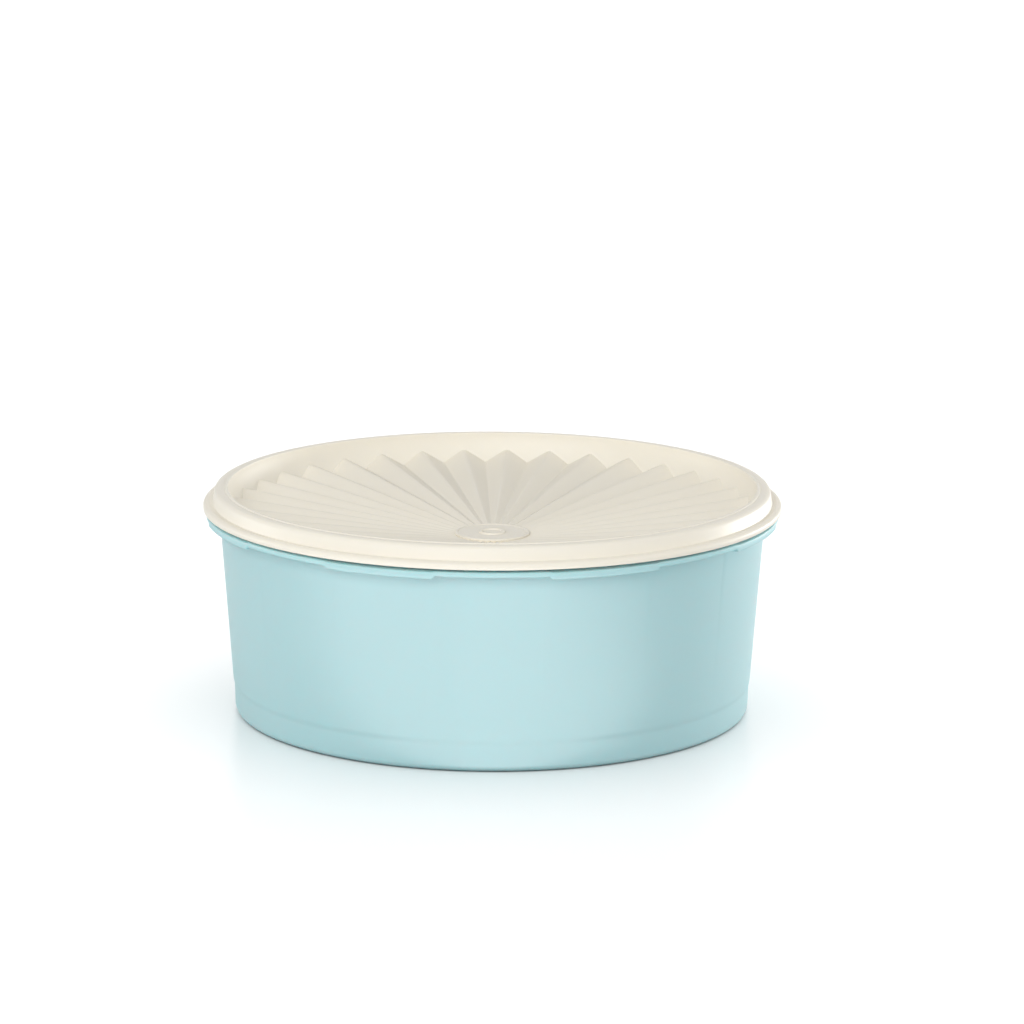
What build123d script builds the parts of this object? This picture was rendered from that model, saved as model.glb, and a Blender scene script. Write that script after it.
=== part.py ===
from build123d import *
import os
from math import cos, hypot, radians, sin, tan

# Sizes are in millimetres. The origin is the middle of the base, +Z is up and -Y is the front.

# Canister body: outside
foot_radius = 89.6          # straight band that drops into the lid of the canister below
foot_height = 10.0
foot_step = 0.4             # how far the wall stands out over the foot
foot_edge = 0.55            # bevel of the bottom edge
stand_width = 5.5           # flat ring that the canister stands on
panel_rise = 1.0            # the base panel is lifted clear of the table
wall_draft = 4.22           # degrees that the side wall leans out
flange_base = 68.3          # underside of the rim flange where it is shallow
flange_thickness = 1.7
flange_reach = 3.9          # from the lip out to the edge of the flange
flange_edge = 0.45
flange_root = 0.5           # bevel under the flange
lip_offset = 0.8            # the lip stands outside the top of the side wall
lip_height = 6.8            # from the flange up
lip_thickness = 1.9
lip_edge = 0.5

# Canister body: walls
wall_thickness = 2.0
floor_thickness = 2.0
floor_corner = 5.0          # inside fillet between wall and floor

# Stepped flange: equal segments, every second one deeper
segment_count = 16
deep_extra = 1.0            # how far a deep segment hangs below a shallow one
deep_drop = 0.25            # how far its top lies below a shallow one
step_slant = 1.3            # length of the slope between the two

# Lid: rim
lip_clearance = 0.35        # between the lip and the two walls of the lid's channel
skirt_gap = 1.0             # between the two flanges
skirt_thickness = 2.0
skirt_overhang = 1.0        # the lid's flange reaches past the canister's
skirt_edge = 0.5
channel_lead = 0.9          # flare at the mouth of the channel
rim_wall = 1.3
rim_lean = 0.6              # how far the raised rim leans in towards its top
rim_corner = 0.55
inner_corner = 0.5
groove_width = 1.5          # shallow groove round the foot of the raised rim
groove_depth = 0.3
roof_thickness = 1.7        # over the lip
plug_wall = 1.45
socket_depth = 3.7          # straight wall that the next canister's foot drops into
socket_bevel = 0.5

# Lid: pleated dish
pleat_count = 36
pleat_turn = 6.7            # degrees from +X to the middle of the first pleat
pleat_thickness = 1.4
tip_inset = 1.3             # from the socket wall in to the tips of the ridges
tip_depth = 5.8             # from the top of the rim down to the tips
valley_inset = 3.7
valley_depth = 9.1
centre_depth = 19.2         # down to the point that every fold line runs to
crown_share = 0.12          # share of each flank that the flat top of a ridge takes
button_radius = 13.1
button_depth = 16.85        # from the top of the rim down to the button
button_thickness = 2.2
button_edge = 0.55
ring_radius = 4.7           # small raised ring in the middle of the button
ring_width = 0.9
ring_rise = 0.3

# Corners smaller than this are cut as bevels, and the rest are rounded
least_fillet = 0.6

# Heights and radii that follow
wall_run = tan(radians(wall_draft))
wall_low_radius = foot_radius + foot_step
wall_high_radius = wall_low_radius + (flange_base - foot_height) * wall_run
flange_top = flange_base + flange_thickness
lip_radius = wall_high_radius + lip_offset
lip_inner_radius = lip_radius - lip_thickness
lip_top = flange_top + lip_height
flange_radius = lip_radius + flange_reach
floor_top = panel_rise + floor_thickness
channel_radius = lip_radius + lip_clearance
plug_radius = lip_inner_radius - lip_clearance
socket_radius = plug_radius - plug_wall
lid_radius = flange_radius + skirt_overhang
skirt_base = flange_top + skirt_gap
skirt_top = skirt_base + skirt_thickness
lid_top = lip_top + roof_thickness
socket_base = lid_top - socket_depth
tip_radius = socket_radius - tip_inset
tip_height = lid_top - tip_depth
valley_radius = socket_radius - valley_inset
valley_height = lid_top - valley_depth
centre_height = lid_top - centre_depth
button_top = lid_top - button_depth
pleat_angle = 360 / pleat_count
segment_angle = 360 / segment_count


def turned(outline):
    """Solid of revolution of (radius, height, corner) points, in order round the section."""
    points = []
    fillets = []
    for index, (radius, height, corner) in enumerate(outline):
        here = Vector(radius, height)
        if 0 < corner < least_fillet:
            before = Vector(*outline[index - 1][:2])
            after = Vector(*outline[(index + 1) % len(outline)][:2])
            points += [here + (end - here).normalized() * corner for end in (before, after)]
            fillets += [0, 0]
        else:
            points.append(here)
            fillets.append(corner)
    section = make_face(FilletPolyline(*points, radius=fillets, close=True))
    return revolve(Plane.XZ * section, Axis.Z)


def flange_block(half_width, slant, low, high):
    """Block across the flange at the front, narrower by the slant at its lower face."""
    section = make_face(
        Polyline(
            (-half_width + slant, low),
            (half_width - slant, low),
            (half_width, high),
            (-half_width, high),
            close=True,
        )
    )
    front = Plane.XZ.offset(wall_high_radius - wall_thickness)
    return extrude(front * section, flange_reach + lip_offset + wall_thickness + 2)


def round_flange(piece):
    """The piece at the front, repeated for every second segment of the flange."""
    pair = 2 * segment_angle
    return [Rot(Z=segment_angle + step * pair) * piece for step in range(segment_count // 2)]


def canister_body():
    foot_slope = foot_step * 2
    inner_low_radius = wall_low_radius - wall_thickness - (foot_height - floor_top) * wall_run
    body = turned(
        [
            (0, panel_rise, 0),
            (foot_radius - stand_width - panel_rise, panel_rise, 0),
            (foot_radius - stand_width, 0, 0),
            (foot_radius, 0, foot_edge),
            (foot_radius, foot_height, 0),
            (wall_low_radius, foot_height + foot_slope, 0),
            (wall_high_radius, flange_base, flange_root),
            (flange_radius, flange_base, flange_edge),
            (flange_radius, flange_top, flange_edge),
            (lip_radius, flange_top, 0),
            (lip_radius, lip_top, lip_edge),
            (lip_inner_radius, lip_top, lip_edge),
            (lip_inner_radius, flange_top, 0),
            (wall_high_radius - wall_thickness, flange_base - flange_thickness, 0),
            (inner_low_radius, floor_top, floor_corner),
            (0, floor_top, 0),
        ]
    )
    deep_half = flange_radius * sin(radians(segment_angle / 2))
    deep_ring = turned(
        [
            (wall_high_radius - wall_thickness / 2, flange_base - deep_extra, 0),
            (flange_radius, flange_base - deep_extra, flange_edge),
            (flange_radius, flange_base + flange_edge, 0),
            (wall_high_radius - wall_thickness / 2, flange_base + flange_edge, 0),
        ]
    )
    low = flange_base - deep_extra
    deep_block = flange_block(deep_half + step_slant / 2, step_slant, low, flange_base + flange_edge)
    drop_block = flange_block(deep_half, 0, flange_top - deep_drop, flange_top + 1)
    drop_ring = turned(
        [
            (lip_radius + flange_edge, flange_top - deep_drop, 0),
            (flange_radius + 1, flange_top - deep_drop, 0),
            (flange_radius + 1, flange_top + 1, 0),
            (lip_radius + flange_edge, flange_top + 1, 0),
        ]
    )
    body += round_flange(deep_block & deep_ring)
    body -= round_flange(drop_block & drop_ring)
    return body


def pleat_points(distance, drop):
    """Points across one pleat on +X, at a distance from the middle: every fold line runs to one point."""
    half_angle = radians(pleat_angle / 2)
    half = distance * tan(half_angle)
    ridge = centre_height - drop + distance * (tip_height - centre_height) / tip_radius
    valley_run = (valley_height - centre_height) / valley_radius
    valley = centre_height - drop + distance / cos(half_angle) * valley_run
    crown = ridge - (ridge - valley) * crown_share
    soft = half * crown_share
    return [(distance, y, z) for y, z in ((-half, valley), (-soft, crown), (soft, crown), (half, valley))]


def base_points(distance):
    half = distance * tan(radians(pleat_angle / 2))
    low = centre_height - 3 * pleat_thickness
    return [(distance, -half, low), (distance, half, low)]


def pleat_wedge(top_drop, base):
    """One pleat's wedge of the dish between the folded top, lowered by a drop, and a base."""
    near, far = [
        [*pleat_points(distance, top_drop), *reversed(base(distance))]
        for distance in (button_radius - 2 * button_edge, socket_radius)
    ]
    sides = [
        Face(Wire.make_polygon([near[index - 1], far[index - 1], far[index], near[index]]))
        for index in range(len(near))
    ]
    ends = [Face(Wire.make_polygon(end)) for end in (near, far)]
    return Solid(Shell([*sides, *ends]))


def pleat_underside(distance):
    return pleat_points(distance, pleat_thickness)


def round_lid(piece):
    """The piece on +X, repeated for every pleat."""
    return [Rot(Z=pleat_turn + step * pleat_angle) * piece for step in range(pleat_count)]


def pleated_lid():
    cone_run = (tip_radius - valley_radius) / (tip_height - valley_height)
    cone_base = valley_height - pleat_thickness

    def cone(height, depth=0):
        """Radius of the dish wall at a height, at a depth into its thickness."""
        return tip_radius + (height - tip_height) * cone_run + depth * hypot(1, cone_run)

    groove_radius = channel_radius + rim_wall
    groove_height = skirt_top + groove_depth
    rim = turned(
        [
            (socket_radius, lid_top, inner_corner),
            (groove_radius - rim_lean, lid_top, rim_corner),
            (groove_radius, groove_height, 0),
            (groove_radius + groove_width / 2, groove_height, 0),
            (groove_radius + groove_width, groove_height + groove_depth, 0),
            (lid_radius, skirt_top, skirt_edge),
            (lid_radius, skirt_base, 0),
            (channel_radius + channel_lead, skirt_base, 0),
            (channel_radius, skirt_base + channel_lead, 0),
            (channel_radius, lip_top, 0),
            (plug_radius, lip_top, 0),
            (plug_radius, socket_base, 0),
            (cone(cone_base, plug_wall), cone_base, 0),
            (cone(cone_base), cone_base, 0),
            (socket_radius, socket_base, socket_bevel),
        ]
    )
    rim -= round_lid(pleat_wedge(pleat_thickness / 2, base_points))
    low = centre_height - 2 * pleat_thickness
    dish = turned(
        [
            (0, low, 0),
            (cone(low, plug_wall / 2), low, 0),
            (cone(lid_top, plug_wall / 2), lid_top, 0),
            (0, lid_top, 0),
        ]
    )
    pleat = pleat_wedge(0, pleat_underside) & dish
    button = turned(
        [
            (0, button_top - button_thickness, 0),
            (button_radius, button_top - button_thickness, 0),
            (button_radius, button_top, button_edge),
            (ring_radius, button_top, 0),
            (ring_radius, button_top + ring_rise, 0),
            (ring_radius - ring_width, button_top + ring_rise, 0),
            (ring_radius - ring_width, button_top, 0),
            (0, button_top, 0),
        ]
    )
    return rim + [*round_lid(pleat), button]


parts = {"canister_body": canister_body(), "pleated_lid": pleated_lid()}
os.makedirs("parts", exist_ok=True)
for name, shape in parts.items():
    export_step(shape, f"parts/{name}.step")
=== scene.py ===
from math import atan2, cos, hypot, pi, radians, sin, tan

import bmesh
import bpy
from mathutils import Matrix, Vector


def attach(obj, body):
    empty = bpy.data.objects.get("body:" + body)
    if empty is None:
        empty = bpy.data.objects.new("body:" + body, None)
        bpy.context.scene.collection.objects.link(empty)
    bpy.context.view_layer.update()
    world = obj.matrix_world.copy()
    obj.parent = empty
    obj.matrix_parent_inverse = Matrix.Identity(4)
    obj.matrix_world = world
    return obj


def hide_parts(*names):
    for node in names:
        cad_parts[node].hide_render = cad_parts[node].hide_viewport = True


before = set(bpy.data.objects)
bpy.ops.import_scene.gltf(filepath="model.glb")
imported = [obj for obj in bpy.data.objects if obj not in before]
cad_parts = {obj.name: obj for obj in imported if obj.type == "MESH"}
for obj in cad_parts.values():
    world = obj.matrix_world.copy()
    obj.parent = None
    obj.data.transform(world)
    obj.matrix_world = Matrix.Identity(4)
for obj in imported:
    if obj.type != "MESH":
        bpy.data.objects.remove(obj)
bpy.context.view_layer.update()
mm = 0.001
print("frame loaded:", sorted(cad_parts))


# Helpers for outlines, turning and node trees

turning = {
    "doublings": 4,             # the spun sector is doubled this many times to make the full turn
    "fineRounding": 0.6,        # roundings under this size, in millimetres, get fewer steps
    "fineSteps": 3,
    "roundSteps": 5,
    "axisReach": 1e-6,          # metres
    "mergeReach": 1e-6,
}


def linearColor(hexColor):
    channels = [int(hexColor[start:start + 2], 16) / 255 for start in (1, 3, 5)]
    return [c / 12.92 if c <= 0.04045 else ((c + 0.055) / 1.055) ** 2.4 for c in channels] + [1.0]


def addNode(tree, kind, settings=None, inputs=None, links=None):
    node = tree.nodes.new(kind)
    for name, value in (settings or {}).items():
        setattr(node, name, value)
    for name, value in (inputs or {}).items():
        node.inputs[name].default_value = value
    for name, source in (links or {}).items():
        tree.links.new(source, node.inputs[name])
    return node


def mixedColor(tree, factor, hexColorA, hexColorB):
    # a Mix node takes its factor at socket 0 and its two colours at 6 and 7, and gives a colour at 2
    mix = addNode(
        tree, "ShaderNodeMix", settings={"data_type": "RGBA"},
        inputs={6: linearColor(hexColorA), 7: linearColor(hexColorB)}, links={0: factor},
    )
    return mix.outputs[2]


def turnedMesh(outline, columns, startAngle):
    # outline: (radius, height, rounding) in millimetres, in order round the section
    bm = bmesh.new()
    corners = [bm.verts.new((radius * mm, 0, height * mm)) for radius, height, rounding in outline]
    section = bm.faces.new(corners)
    section.normal_update()
    for rounding in sorted({entry[2] for entry in outline if entry[2]}):
        sameCorners = [vert for vert, entry in zip(corners, outline) if entry[2] == rounding]
        steps = turning["fineSteps"] if rounding < turning["fineRounding"] else turning["roundSteps"]
        bmesh.ops.bevel(
            bm, geom=sameCorners, offset=rounding * mm, offset_type="OFFSET", affect="VERTICES",
            segments=steps, profile=0.5, material=-1,
        )
    # only the line of the section is turned, without its face and its edge on the axis
    bmesh.ops.delete(bm, geom=bm.faces[:], context="FACES_ONLY")
    reach = turning["axisReach"]
    onAxis = [edge for edge in bm.edges if max(abs(vert.co.x) for vert in edge.verts) < reach]
    bmesh.ops.delete(bm, geom=onAxis, context="EDGES")
    startTurn = Matrix.Rotation(radians(startAngle), 3, "Z")
    bmesh.ops.rotate(bm, verts=bm.verts, cent=(0, 0, 0), matrix=startTurn)
    # one sector is spun, then all there is so far is copied and turned on, again and again
    sectors = 2 ** turning["doublings"]
    sectorAngle = 2 * pi / sectors
    bmesh.ops.spin(
        bm, geom=bm.verts[:] + bm.edges[:], cent=(0, 0, 0), axis=(0, 0, 1), dvec=(0, 0, 0),
        angle=sectorAngle, steps=columns // sectors, use_merge=False, use_normal_flip=False,
        use_duplicate=False,
    )
    for doubling in range(turning["doublings"]):
        copied = bmesh.ops.duplicate(bm, geom=bm.verts[:] + bm.edges[:] + bm.faces[:])["geom"]
        copiedVerts = [item for item in copied if isinstance(item, bmesh.types.BMVert)]
        copyTurn = Matrix.Rotation(sectorAngle * 2 ** doubling, 3, "Z")
        bmesh.ops.rotate(bm, verts=copiedVerts, cent=(0, 0, 0), matrix=copyTurn)
    return bm


def finishMesh(bm, name, sharpAngle):
    # merging closes the seams between the sectors and makes one vertex of each pole
    bmesh.ops.remove_doubles(bm, verts=bm.verts, dist=turning["mergeReach"])
    bmesh.ops.recalc_face_normals(bm, faces=bm.faces)
    for face in bm.faces:
        face.smooth = True
    for edge in bm.edges:
        edge.smooth = edge.calc_face_angle(0) < radians(sharpAngle)
    mesh = bpy.data.meshes.new(name)
    bm.to_mesh(mesh)
    bm.free()
    piece = bpy.data.objects.new(name, mesh)
    bpy.context.collection.objects.link(piece)
    print(name, "faces:", len(mesh.polygons))
    return piece


# Canister body: one polypropylene moulding, in millimetres

canister = {
    "footRadius": 89.6,
    "footHeight": 9.8,
    "footTaper": 0.3,           # the foot is this much narrower at the table
    "stepBelow": 0.3,           # the soft step above the foot starts this far below footHeight
    "stepAbove": 1.2,           # and ends this far above it
    "standWidth": 5.5,          # the flat ring that the canister stands on
    "standSlope": 1.0,
    "panelRise": 1.0,           # how far the base inside the ring is raised
    "wallLowRadius": 90.0,
    "wallHighRadius": 94.3,
    "flangeRadius": 99.0,
    "flangeBase": 68.3,
    "flangeTop": 70.0,
    "lipRadius": 95.1,
    "lipInnerRadius": 93.2,
    "lipTop": 76.8,
    "lipLead": 1.7,             # the lip's inside runs out into the wall this far below the flange
    "innerLowRadius": 87.48,
    "innerHighRadius": 92.2,
    "floorTop": 3.0,
    "segments": 16,             # of the flange; every second one is deeper
    "deepExtra": 1.0,
    "deepDrop": 0.25,           # the deeper ones also fall by this much towards their outer edge
    "rootSlack": 0.15,          # the underside moves from this far inside the wall's top
    "rootDepth": 1.2,           # and from this far below flangeBase
    "edgeRise": 0.6,            # up to this far above it, which takes in the lower edge's rounding
    "topSlack": 0.1,
    "lipSlack": 0.5,            # the rounding at the lip's root stays where it is
    "columns": 576,
    "sharpAngle": 28,           # degrees
}


def canisterOutline(sizes):
    standInner = sizes["footRadius"] - sizes["standWidth"]
    return [
        (0, sizes["panelRise"], 0),
        (standInner - sizes["standSlope"], sizes["panelRise"], 0.5),
        (standInner, 0, 0.4),
        (sizes["footRadius"] - sizes["footTaper"], 0, 2.2),
        (sizes["footRadius"], sizes["footHeight"] - sizes["stepBelow"], 0.6),
        (sizes["wallLowRadius"], sizes["footHeight"] + sizes["stepAbove"], 0.7),
        (sizes["wallHighRadius"], sizes["flangeBase"], 1.0),
        (sizes["flangeRadius"], sizes["flangeBase"], 0.5),
        (sizes["flangeRadius"], sizes["flangeTop"], 0.5),
        (sizes["lipRadius"], sizes["flangeTop"], 0.4),
        (sizes["lipRadius"], sizes["lipTop"], 0.6),
        (sizes["lipInnerRadius"], sizes["lipTop"], 0.6),
        (sizes["lipInnerRadius"], sizes["flangeTop"], 0.6),
        (sizes["innerHighRadius"], sizes["flangeBase"] - sizes["lipLead"], 0.6),
        (sizes["innerLowRadius"], sizes["floorTop"], 5.0),
        (0, sizes["floorTop"], 0),
    ]


def deepenSegments(bm, sizes):
    segmentAngle = 2 * pi / sizes["segments"]
    rootRadius = sizes["wallHighRadius"] - sizes["rootSlack"]
    topRadius = sizes["lipRadius"] + sizes["lipSlack"]
    for vert in bm.verts:
        radius = hypot(vert.co.x, vert.co.y) / mm
        height = vert.co.z / mm
        turns = (atan2(vert.co.y, vert.co.x) + pi / 2) / segmentAngle
        if radius < rootRadius or round(turns) % 2 == 0:
            continue
        if sizes["flangeBase"] - sizes["rootDepth"] < height < sizes["flangeBase"] + sizes["edgeRise"]:
            vert.co.z -= sizes["deepExtra"] * mm
        elif height < sizes["flangeTop"] + sizes["topSlack"] and radius > topRadius:
            vert.co.z -= sizes["deepDrop"] * mm


def buildCanister(sizes):
    # starting half a column on puts every segment's end in the middle of a column
    bm = turnedMesh(canisterOutline(sizes), sizes["columns"], 180 / sizes["columns"])
    deepenSegments(bm, sizes)
    return finishMesh(bm, "canisterBody", sizes["sharpAngle"])


# Lid: one soft polyethylene moulding with a pleated dish, in millimetres

lid = {
    "pleats": 36,
    "pleatTurn": 6.7,           # degrees from +X to a ridge
    "columnsPerPleat": 16,
    "columnCrowding": 0.8,      # columns crowd towards ridges and valleys
    "dishSteps": 16,
    "dishCrowding": 0.8,        # steps crowd towards the dish wall
    "wallSteps": 8,
    "pleatThickness": 1.4,
    "tipRadius": 90.1,
    "tipHeight": 72.7,
    "valleyRadius": 87.7,
    "valleyHeight": 68.2,
    "centreHeight": 59.3,       # where all folds would meet on the axis, under the button
    "creaseAccuracy": 0.001,
    "ridgeSoft": 0.14,          # share of a flank that is rounded at the ridge
    "valleySoft": 0.05,
    "buttonRadius": 13.1,
    "buttonTop": 61.6,
    "buttonThickness": 2.2,
    "buttonUndercut": 0.3,      # the pleats start this far inside the button's edge
    "buttonUnderInset": 0.5,
    "buttonLip": 1.3,           # raised edge round the button
    "buttonLipRise": 0.3,
    "buttonLipSlope": 0.25,
    "ringRadius": 4.7,
    "ringWidth": 1.3,
    "ringRise": 0.55,
    "ringSlope": 0.2,
    "socketRadius": 91.4,
    "bendStart": 77.9,          # the dish wall curves inwards below this height
    "bend": 0.0788,
    "bendPower": 1.7,
    "wallThickness": 1.45,
    "wallTopGap": 0.1,          # the curved wall's top row stays this far below bendStart
    "wallFootGap": 0.4,         # its outer rows stay at least this far below channelFoot
    "beadWidth": 1.0,           # fine bead on the rim's inner top edge, and a groove outside it
    "beadSlope": 0.15,
    "beadRise": 0.25,
    "beadGroove": 0.08,
    "beadGrooveWidth": 0.4,
    "beadGrooveSlope": 0.3,
    "lidTop": 78.5,
    "rimTopRadius": 96.0,
    "rimFall": 0.05,
    "rimFootRadius": 96.75,
    "grooveWidth": 0.85,
    "grooveHeight": 73.35,
    "flangeRoot": 1.55,         # the flange's top starts this far outside the rim's foot
    "flangeRise": 73.6,
    "flangeRadius": 100.0,
    "flangeTop": 73.0,
    "flangeBottom": 71.0,
    "channelOuter": 95.45,
    "channelInner": 92.85,
    "channelTop": 76.8,
    "channelLead": 0.9,
    "channelFoot": 74.4,
    "sharpAngle": 24,           # degrees
}

# Marks, not sizes of the lid: the heights that tell the pleated sheet's rows apart until they are moved
sheetRows = {
    "dishTop": 60.0,
    "wallTop": 65.0,
    "wallUnder": 56.0,
    "dishUnder": 53.0,
    "slack": 0.1,
    "lean": 0.2,                # the wall's rows lean by this much
    "underOffset": 0.7,         # its outer rows start this far outside tipRadius
    "poleReach": 1.0,           # what lies nearer the axis has no angle and stays
}


def foldHeight(sizes, radius, fold):
    # height of the pleated sheet's top; fold is 0 on a ridge and 1 in a valley
    halfAngle = pi / sizes["pleats"]
    ridgeRun = (sizes["tipHeight"] - sizes["centreHeight"]) / sizes["tipRadius"]
    valleyRun = (sizes["valleyHeight"] - sizes["centreHeight"]) / sizes["valleyRadius"] / cos(halfAngle)
    ridgeSoft = sizes["ridgeSoft"]
    valleySoft = sizes["valleySoft"]
    flank = tan(fold * halfAngle) / tan(halfAngle)
    if flank < ridgeSoft:
        flank = (flank * flank / ridgeSoft + ridgeSoft) / 2
    elif flank > 1 - valleySoft:
        flank = 1 - ((1 - flank) ** 2 / valleySoft + valleySoft) / 2
    run = ridgeRun + (valleyRun - ridgeRun) * flank
    return sizes["centreHeight"] + radius * cos(fold * halfAngle) * run


def wallRadius(sizes, height):
    drop = max(0.0, sizes["bendStart"] - height)
    return sizes["socketRadius"] - sizes["bend"] * drop ** sizes["bendPower"]


def creaseHeight(sizes, fold, drop, outset):
    # where the sheet, lowered by drop, meets the dish wall, moved out by outset; found by halving
    low = sizes["centreHeight"]
    high = sizes["bendStart"]
    while high - low > sizes["creaseAccuracy"]:
        height = (low + high) / 2
        if foldHeight(sizes, wallRadius(sizes, height) + outset, fold) - drop > height:
            low = height
        else:
            high = height
    return (low + high) / 2


def lidOutline(sizes, rows):
    # the sheet and the dish wall are turned as plain rows, each at a height of its own near its mark,
    # and pleatSheet then moves every row to its place
    start = sizes["buttonRadius"] - sizes["buttonUndercut"]
    reach = sizes["tipRadius"] - start
    dishSteps = sizes["dishSteps"]
    dishShares = [(step / dishSteps) ** sizes["dishCrowding"] for step in range(dishSteps + 1)]
    wallShares = [step / sizes["wallSteps"] for step in range(1, sizes["wallSteps"] + 1)]
    lean = rows["lean"]
    underRadius = sizes["tipRadius"] + rows["underOffset"]
    top = sizes["buttonTop"]
    ring = sizes["ringRadius"]
    ringInner = ring - sizes["ringWidth"]
    lipInner = sizes["buttonRadius"] - sizes["buttonLip"]
    bead = sizes["socketRadius"] + sizes["beadWidth"]
    grooveStart = bead + sizes["beadSlope"]
    grooveEnd = grooveStart + sizes["beadGrooveWidth"]
    rimTop = sizes["lidTop"] - sizes["beadRise"]
    channelEdge = sizes["channelOuter"] + sizes["channelLead"]
    return [
        (0, top, 0),
        (ringInner, top, 0.12),
        (ringInner + sizes["ringSlope"], top + sizes["ringRise"], 0.16),
        (ring - sizes["ringSlope"], top + sizes["ringRise"], 0.16),
        (ring, top, 0.12),
        (lipInner, top, 0.12),
        (lipInner + sizes["buttonLipSlope"], top + sizes["buttonLipRise"], 0.14),
        (sizes["buttonRadius"], top + sizes["buttonLipRise"], 0.55),
        *[(start + reach * share, rows["dishTop"] + share, 0) for share in dishShares],
        *[(sizes["tipRadius"] + lean * share, rows["wallTop"] + share, 0) for share in wallShares],
        (sizes["socketRadius"], sizes["bendStart"], 0),
        (sizes["socketRadius"], sizes["lidTop"], 0.34),
        (bead, sizes["lidTop"], 0.34),
        (grooveStart, rimTop - sizes["beadGroove"], 0.1),
        (grooveEnd, rimTop - sizes["beadGroove"], 0.1),
        (grooveEnd + sizes["beadGrooveSlope"], rimTop, 0.1),
        (sizes["rimTopRadius"], rimTop - sizes["rimFall"], 1.5),
        (sizes["rimFootRadius"], sizes["grooveHeight"], 0.3),
        (sizes["rimFootRadius"] + sizes["grooveWidth"], sizes["grooveHeight"], 0.3),
        (sizes["rimFootRadius"] + sizes["flangeRoot"], sizes["flangeRise"], 0.7),
        (sizes["flangeRadius"], sizes["flangeTop"], 0.8),
        (sizes["flangeRadius"], sizes["flangeBottom"], 0.4),
        (channelEdge, sizes["flangeBottom"], 0.3),
        (sizes["channelOuter"], sizes["flangeBottom"] + sizes["channelLead"], 0.3),
        (sizes["channelOuter"], sizes["channelTop"], 0.3),
        (sizes["channelInner"], sizes["channelTop"], 0.3),
        (sizes["channelInner"], sizes["channelFoot"], 0.3),
        *[(underRadius - lean * share, rows["wallUnder"] - share, 0) for share in wallShares],
        *[(start + reach * share, rows["dishUnder"] + share, 0) for share in reversed(dishShares)],
        (sizes["buttonRadius"] - sizes["buttonUnderInset"], top - sizes["buttonThickness"], 0.3),
        (0, top - sizes["buttonThickness"], 0),
    ]


def pleatSheet(bm, sizes, rows):
    halfAngle = pi / sizes["pleats"]
    turn = radians(sizes["pleatTurn"])
    start = sizes["buttonRadius"] - sizes["buttonUndercut"]
    reach = sizes["tipRadius"] - start
    slack = rows["slack"]
    creases = {}
    for vert in bm.verts:
        radius = hypot(vert.co.x, vert.co.y) / mm
        height = vert.co.z / mm
        if radius < rows["poleReach"]:
            continue
        angle = atan2(vert.co.y, vert.co.x) - turn
        ridge = round(angle / (2 * halfAngle)) * 2 * halfAngle
        share = (angle - ridge) / halfAngle
        share -= sizes["columnCrowding"] * sin(2 * pi * share) / (2 * pi)
        # rounded, so that the creases of like columns are worked out only once
        fold = round(abs(share), 4)
        if fold not in creases:
            creases[fold] = (
                creaseHeight(sizes, fold, 0, 0),
                creaseHeight(sizes, fold, sizes["pleatThickness"], sizes["wallThickness"]),
            )
        topCrease, underCrease = creases[fold]
        if rows["dishTop"] - slack < height < rows["dishTop"] + 1 + slack:
            edge = wallRadius(sizes, topCrease)
            radius = start + (radius - start) / reach * (edge - start)
            height = foldHeight(sizes, radius, fold)
        elif rows["wallTop"] - slack < height < rows["wallTop"] + 1 + slack:
            lift = sizes["bendStart"] - sizes["wallTopGap"] - topCrease
            height = topCrease + (height - rows["wallTop"]) * lift
            radius = wallRadius(sizes, height)
        elif rows["wallUnder"] - 1 - slack < height < rows["wallUnder"] + slack:
            lift = sizes["channelFoot"] - sizes["wallFootGap"] - underCrease
            height = underCrease + (height - rows["wallUnder"] + 1) * lift
            radius = wallRadius(sizes, height) + sizes["wallThickness"]
        elif rows["dishUnder"] - slack < height < rows["dishUnder"] + 1 + slack:
            edge = wallRadius(sizes, underCrease) + sizes["wallThickness"]
            radius = start + (radius - start) / reach * (edge - start)
            height = foldHeight(sizes, radius, fold) - sizes["pleatThickness"]
        place = turn + ridge + share * halfAngle
        vert.co = Vector((radius * cos(place), radius * sin(place), height)) * mm


def buildLid(sizes, rows):
    columns = sizes["pleats"] * sizes["columnsPerPleat"]
    bm = turnedMesh(lidOutline(sizes, rows), columns, sizes["pleatTurn"])
    pleatSheet(bm, sizes, rows)
    return finishMesh(bm, "pleatedLid", sizes["sharpAngle"])


# Materials; pattern sizes and grain depths are in millimetres, scatter radii in metres

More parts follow.
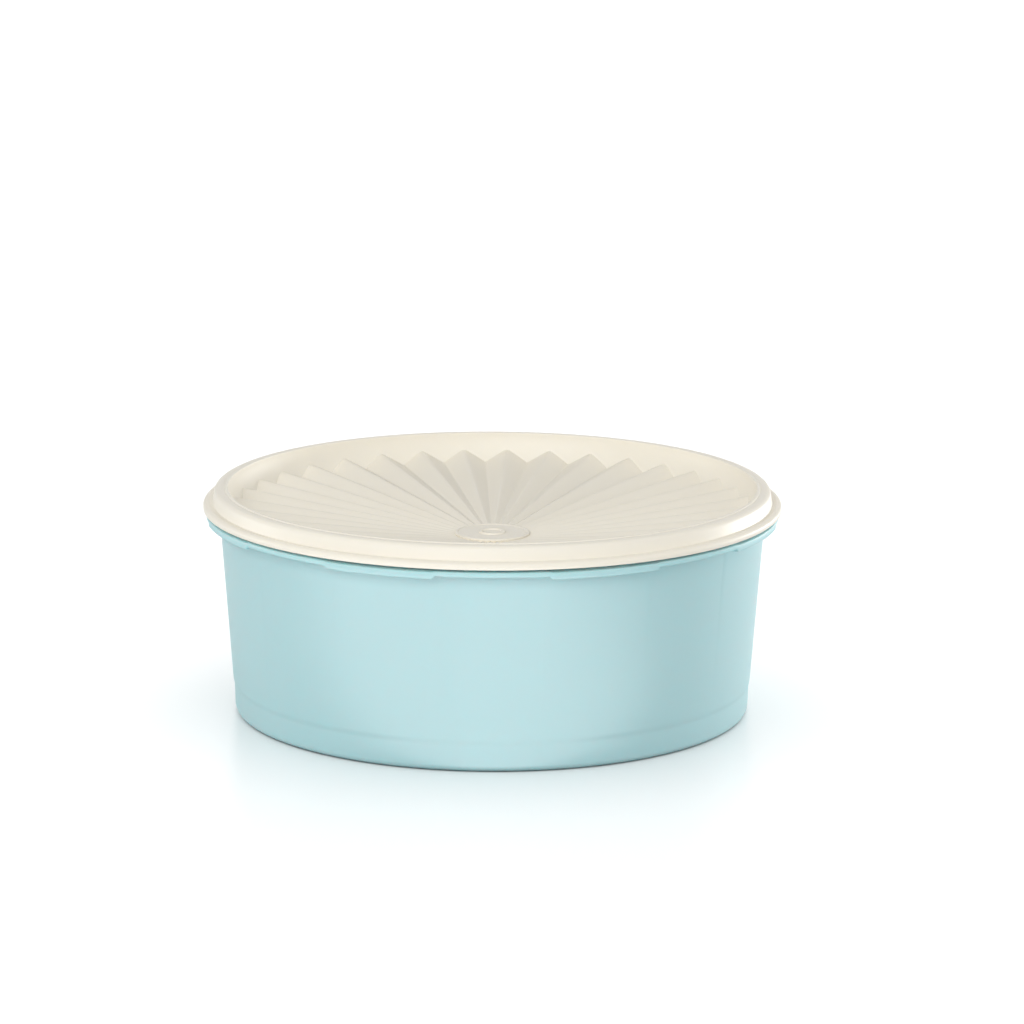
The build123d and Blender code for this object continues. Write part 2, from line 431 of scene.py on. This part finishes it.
def mouldedPlastic(name, looks):
    material = bpy.data.materials.new(name)
    material.use_nodes = True
    tree = material.node_tree
    tree.nodes.clear()
    place = addNode(tree, "ShaderNodeTexCoord").outputs["Object"]
    # the melt's flow leaves a slow, faint drift of colour and gloss
    flow = addNode(
        tree, "ShaderNodeTexNoise",
        inputs={"Scale": 1 / (looks["flowSize"] * mm), "Detail": 3.0, "Roughness": 0.5},
        links={"Vector": place},
    )
    color = mixedColor(tree, flow.outputs["Fac"], looks["color"], looks["flowColor"])
    gloss = addNode(
        tree, "ShaderNodeMapRange",
        inputs={
            "To Min": looks["roughness"] - looks["roughnessDrift"],
            "To Max": looks["roughness"] + looks["roughnessDrift"],
        },
        links={"Value": flow.outputs["Fac"]},
    )
    grain = addNode(
        tree, "ShaderNodeTexNoise", inputs={"Scale": 1 / (looks["grainSize"] * mm), "Detail": 2.0},
        links={"Vector": place},
    )
    bump = addNode(
        tree, "ShaderNodeBump",
        inputs={"Strength": looks["grainStrength"], "Distance": looks["grainDepth"] * mm},
        links={"Height": grain.outputs["Fac"]},
    )
    shader = addNode(
        tree, "ShaderNodeBsdfPrincipled",
        inputs={
            "IOR": looks["ior"],
            "Subsurface Weight": looks["scatter"],
            "Subsurface Radius": looks["scatterRadius"],
            "Subsurface Scale": 1.0,
            "Specular IOR Level": looks["specular"],
        },
        links={"Base Color": color, "Roughness": gloss.outputs[0], "Normal": bump.outputs[0]},
    )
    addNode(tree, "ShaderNodeOutputMaterial", links={"Surface": shader.outputs[0]})
    return material


# Injection-moulded polypropylene, pale aqua: its satin skin gives broad, soft highlights, and light
# that enters the wall spreads further in green and blue than in red, so that thin edges glow cooler.
# The grain is drawn coarser than the real skin's, which would be too fine to show.
aquaPolypropylene = {
    "color": "#B0D6DA",
    "flowColor": "#B3D8DC",
    "flowSize": 60.0,
    "grainSize": 0.9,
    "grainDepth": 0.05,
    "grainStrength": 0.06,
    "roughness": 0.48,
    "roughnessDrift": 0.04,
    "ior": 1.49,
    "specular": 0.5,
    "scatter": 0.7,
    "scatterRadius": (0.0009, 0.0024, 0.0026),
}

# Injection-moulded low-density polyethylene, warm cream: denser in colour than the body, with the same
# wide, waxy highlights. Its grain is drawn coarser too.
creamPolyethylene = {
    "color": "#EFE9DB",
    "flowColor": "#F1ECDF",
    "flowSize": 50.0,
    "grainSize": 0.9,
    "grainDepth": 0.05,
    "grainStrength": 0.05,
    "roughness": 0.45,
    "roughnessDrift": 0.04,
    "ior": 1.51,
    "specular": 0.45,
    "scatter": 0.15,
    "scatterRadius": (0.0014, 0.0013, 0.0010),
}

bodyPiece = buildCanister(canister)
bodyPiece.data.materials.append(mouldedPlastic("aquaPolypropylene", aquaPolypropylene))
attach(bodyPiece, "canister")
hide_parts("canister_body")

lidPiece = buildLid(lid, sheetRows)
lidPiece.data.materials.append(mouldedPlastic("creamPolyethylene", creamPolyethylene))
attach(lidPiece, "lid")
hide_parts("pleated_lid")
print("canister and lid dressed")


# Studio, in metres

studio = {
    "floorSize": 12.0,
    "floorColor": "#F8F8F8",
    "floorRoughness": 0.3,
    "floorBounce": "#BCBCBC",   # what the floor throws back on the pieces, less than the eye sees
    "worldColor": "#FFFFFF",
    "worldFill": 0.52,          # the world's strength as a light
    "worldSeen": 1.0,           # and as the white behind the scene
    "backdropPlace": (0.0, 3.0, 0.7),
    "backdropSize": 1.4,
    "backdropColor": "#808080",
    "backdropRoughness": 0.8,
    "backdropGlow": 1.2,        # seen only in sheens, as the white behind the canister in the floor's
    "backdropGlowColor": "#FFFFFF",
    "lights": [
        # name, place, point it faces, width, height, power in watts, what it reaches
        # soft key from the front left, which models the wall and the pleats
        ("keySoftbox", (-0.50, -1.42, 0.90), (0, 0, 0.05), 1.4, 1.0, 15.0, "pieces"),
        # keeps the right side from going grey
        ("rightFillSoftbox", (1.25, -0.95, 0.50), (0, 0, 0.05), 1.0, 1.0, 3.0, "pieces"),
        # lies on the floor and faces up: the wall leans out, so its pale sheen comes from down there
        ("frontGlossPanel", (-0.12, -0.31, 0.0005), (-0.12, -0.31, 1), 0.50, 0.44, 2.7, "gloss"),
        # low strips at the sides, which light the wall's right and left edges
        ("rightStripSoftbox", (1.40, 0.95, 0.12), (0, 0, 0.05), 0.8, 0.2, 15.0, "pieces"),
        ("leftStripSoftbox", (-1.45, 0.35, 0.12), (0, 0, 0.05), 0.6, 0.2, 4.0, "pieces"),
        # turns the floor white and leaves a soft shadow round the foot; a target just off its own
        # vertical gives it a settled heading
        ("floorSoftbox", (0.0, 0.0, 3.0), (0, 0.001, 0), 8.0, 8.0, 205.0, "floor"),
    ],
}


def stagePlane(name, size, color, roughness):
    bm = bmesh.new()
    bmesh.ops.create_grid(bm, x_segments=2, y_segments=2, size=size / 2)
    mesh = bpy.data.meshes.new(name)
    bm.to_mesh(mesh)
    bm.free()
    plane = bpy.data.objects.new(name, mesh)
    bpy.context.collection.objects.link(plane)
    material = bpy.data.materials.new(name + "Acrylic")
    material.use_nodes = True
    shader = material.node_tree.nodes["Principled BSDF"]
    shader.inputs["Base Color"].default_value = linearColor(color)
    shader.inputs["Roughness"].default_value = roughness
    mesh.materials.append(material)
    return plane


def buildFloor(settings):
    color = settings["floorColor"]
    floor = stagePlane("studioFloor", settings["floorSize"], color, settings["floorRoughness"])
    tree = floor.data.materials[0].node_tree
    isBounce = addNode(tree, "ShaderNodeLightPath").outputs["Is Diffuse Ray"]
    seenColor = mixedColor(tree, isBounce, color, settings["floorBounce"])
    tree.links.new(seenColor, tree.nodes["Principled BSDF"].inputs["Base Color"])
    return floor


def buildBackdrop(settings):
    backdrop = stagePlane(
        "studioBackdrop", settings["backdropSize"], settings["backdropColor"], settings["backdropRoughness"],
    )
    backdrop.location = settings["backdropPlace"]
    backdrop.rotation_euler = (pi / 2, 0, 0)
    backdrop.visible_camera = False
    backdrop.visible_diffuse = False
    shader = backdrop.data.materials[0].node_tree.nodes["Principled BSDF"]
    shader.inputs["Emission Color"].default_value = linearColor(settings["backdropGlowColor"])
    shader.inputs["Emission Strength"].default_value = settings["backdropGlow"]


def receiverCollection(name, objects):
    receivers = bpy.data.collections.new(name)
    for item in objects:
        receivers.objects.link(item)
    return receivers


def buildLights(settings, floor, pieces):
    receivers = {
        "floor": receiverCollection("floorReceivers", [floor]),
        "pieces": receiverCollection("piecesReceivers", pieces),
    }
    for name, place, target, width, height, power, reach in settings["lights"]:
        light = bpy.data.lights.new(name, "AREA")
        light.shape = "RECTANGLE"
        light.size = width
        light.size_y = height
        light.energy = power
        lamp = bpy.data.objects.new(name, light)
        lamp.location = place
        aim = Vector(target) - Vector(place)
        lamp.rotation_euler = aim.to_track_quat("-Z", "Y").to_euler()
        lamp.visible_camera = False
        lamp.visible_diffuse = reach != "gloss"
        lamp.visible_glossy = reach != "floor"
        if reach in receivers:
            lamp.light_linking.receiver_collection = receivers[reach]
        bpy.context.collection.objects.link(lamp)


def buildWorld(settings):
    world = bpy.data.worlds.new("studioWorld")
    world.use_nodes = True
    tree = world.node_tree
    tree.nodes.clear()
    path = addNode(tree, "ShaderNodeLightPath")
    strength = addNode(
        tree, "ShaderNodeMapRange", inputs={"To Min": settings["worldFill"], "To Max": settings["worldSeen"]},
        links={"Value": path.outputs["Is Camera Ray"]},
    )
    background = addNode(
        tree, "ShaderNodeBackground", inputs={"Color": linearColor(settings["worldColor"])},
        links={"Strength": strength.outputs[0]},
    )
    addNode(tree, "ShaderNodeOutputWorld", links={"Surface": background.outputs[0]})
    bpy.context.scene.world = world


# Camera, as found from the circles of the rim, lid and base in the photograph

cameraFit = {
    "distance": 1.573,              # metres
    "elevation": 13.378,            # degrees
    "aimHeight": 0.04,
    "aimPixel": (492.44, 592.66),   # where the point it aims at stands in the picture
    "focalPixels": 4520.0,
    "pictureWidth": 1024,           # pixels
    "roll": 0.2564,                 # degrees
    "sensorWidth": 36,              # millimetres
    "clipStart": 0.05,
    "clipEnd": 30,
}


def buildCamera(fit):
    half = fit["pictureWidth"] / 2
    lift = radians(fit["elevation"])
    ahead = Vector((0, cos(lift), -sin(lift)))
    across = Vector((1, 0, 0))
    upward = Vector((0, sin(lift), cos(lift)))
    pan = atan2(fit["aimPixel"][0] - half, fit["focalPixels"])
    tilt = atan2(fit["aimPixel"][1] - half, fit["focalPixels"])
    roll = radians(fit["roll"])
    across, ahead = across * cos(pan) + ahead * sin(pan), ahead * cos(pan) - across * sin(pan)
    upward, ahead = upward * cos(tilt) - ahead * sin(tilt), ahead * cos(tilt) + upward * sin(tilt)
    across, upward = across * cos(roll) + upward * sin(roll), upward * cos(roll) - across * sin(roll)
    place = Vector((0, 0, fit["aimHeight"])) + fit["distance"] * Vector((0, -cos(lift), sin(lift)))
    turn = Matrix((across, upward, -ahead)).transposed().to_4x4()
    data = bpy.data.cameras.new("photoCamera")
    data.sensor_width = fit["sensorWidth"]
    data.lens = fit["focalPixels"] * fit["sensorWidth"] / fit["pictureWidth"]
    data.clip_start = fit["clipStart"]
    data.clip_end = fit["clipEnd"]
    eye = bpy.data.objects.new("photoCamera", data)
    eye.matrix_world = Matrix.Translation(place) @ turn
    bpy.context.collection.objects.link(eye)
    bpy.context.scene.camera = eye


floorPlane = buildFloor(studio)
buildBackdrop(studio)
buildLights(studio, floorPlane, [bodyPiece, lidPiece])
buildWorld(studio)
buildCamera(cameraFit)
bpy.context.scene.view_settings.view_transform = "Standard"
print("studio and camera ready")
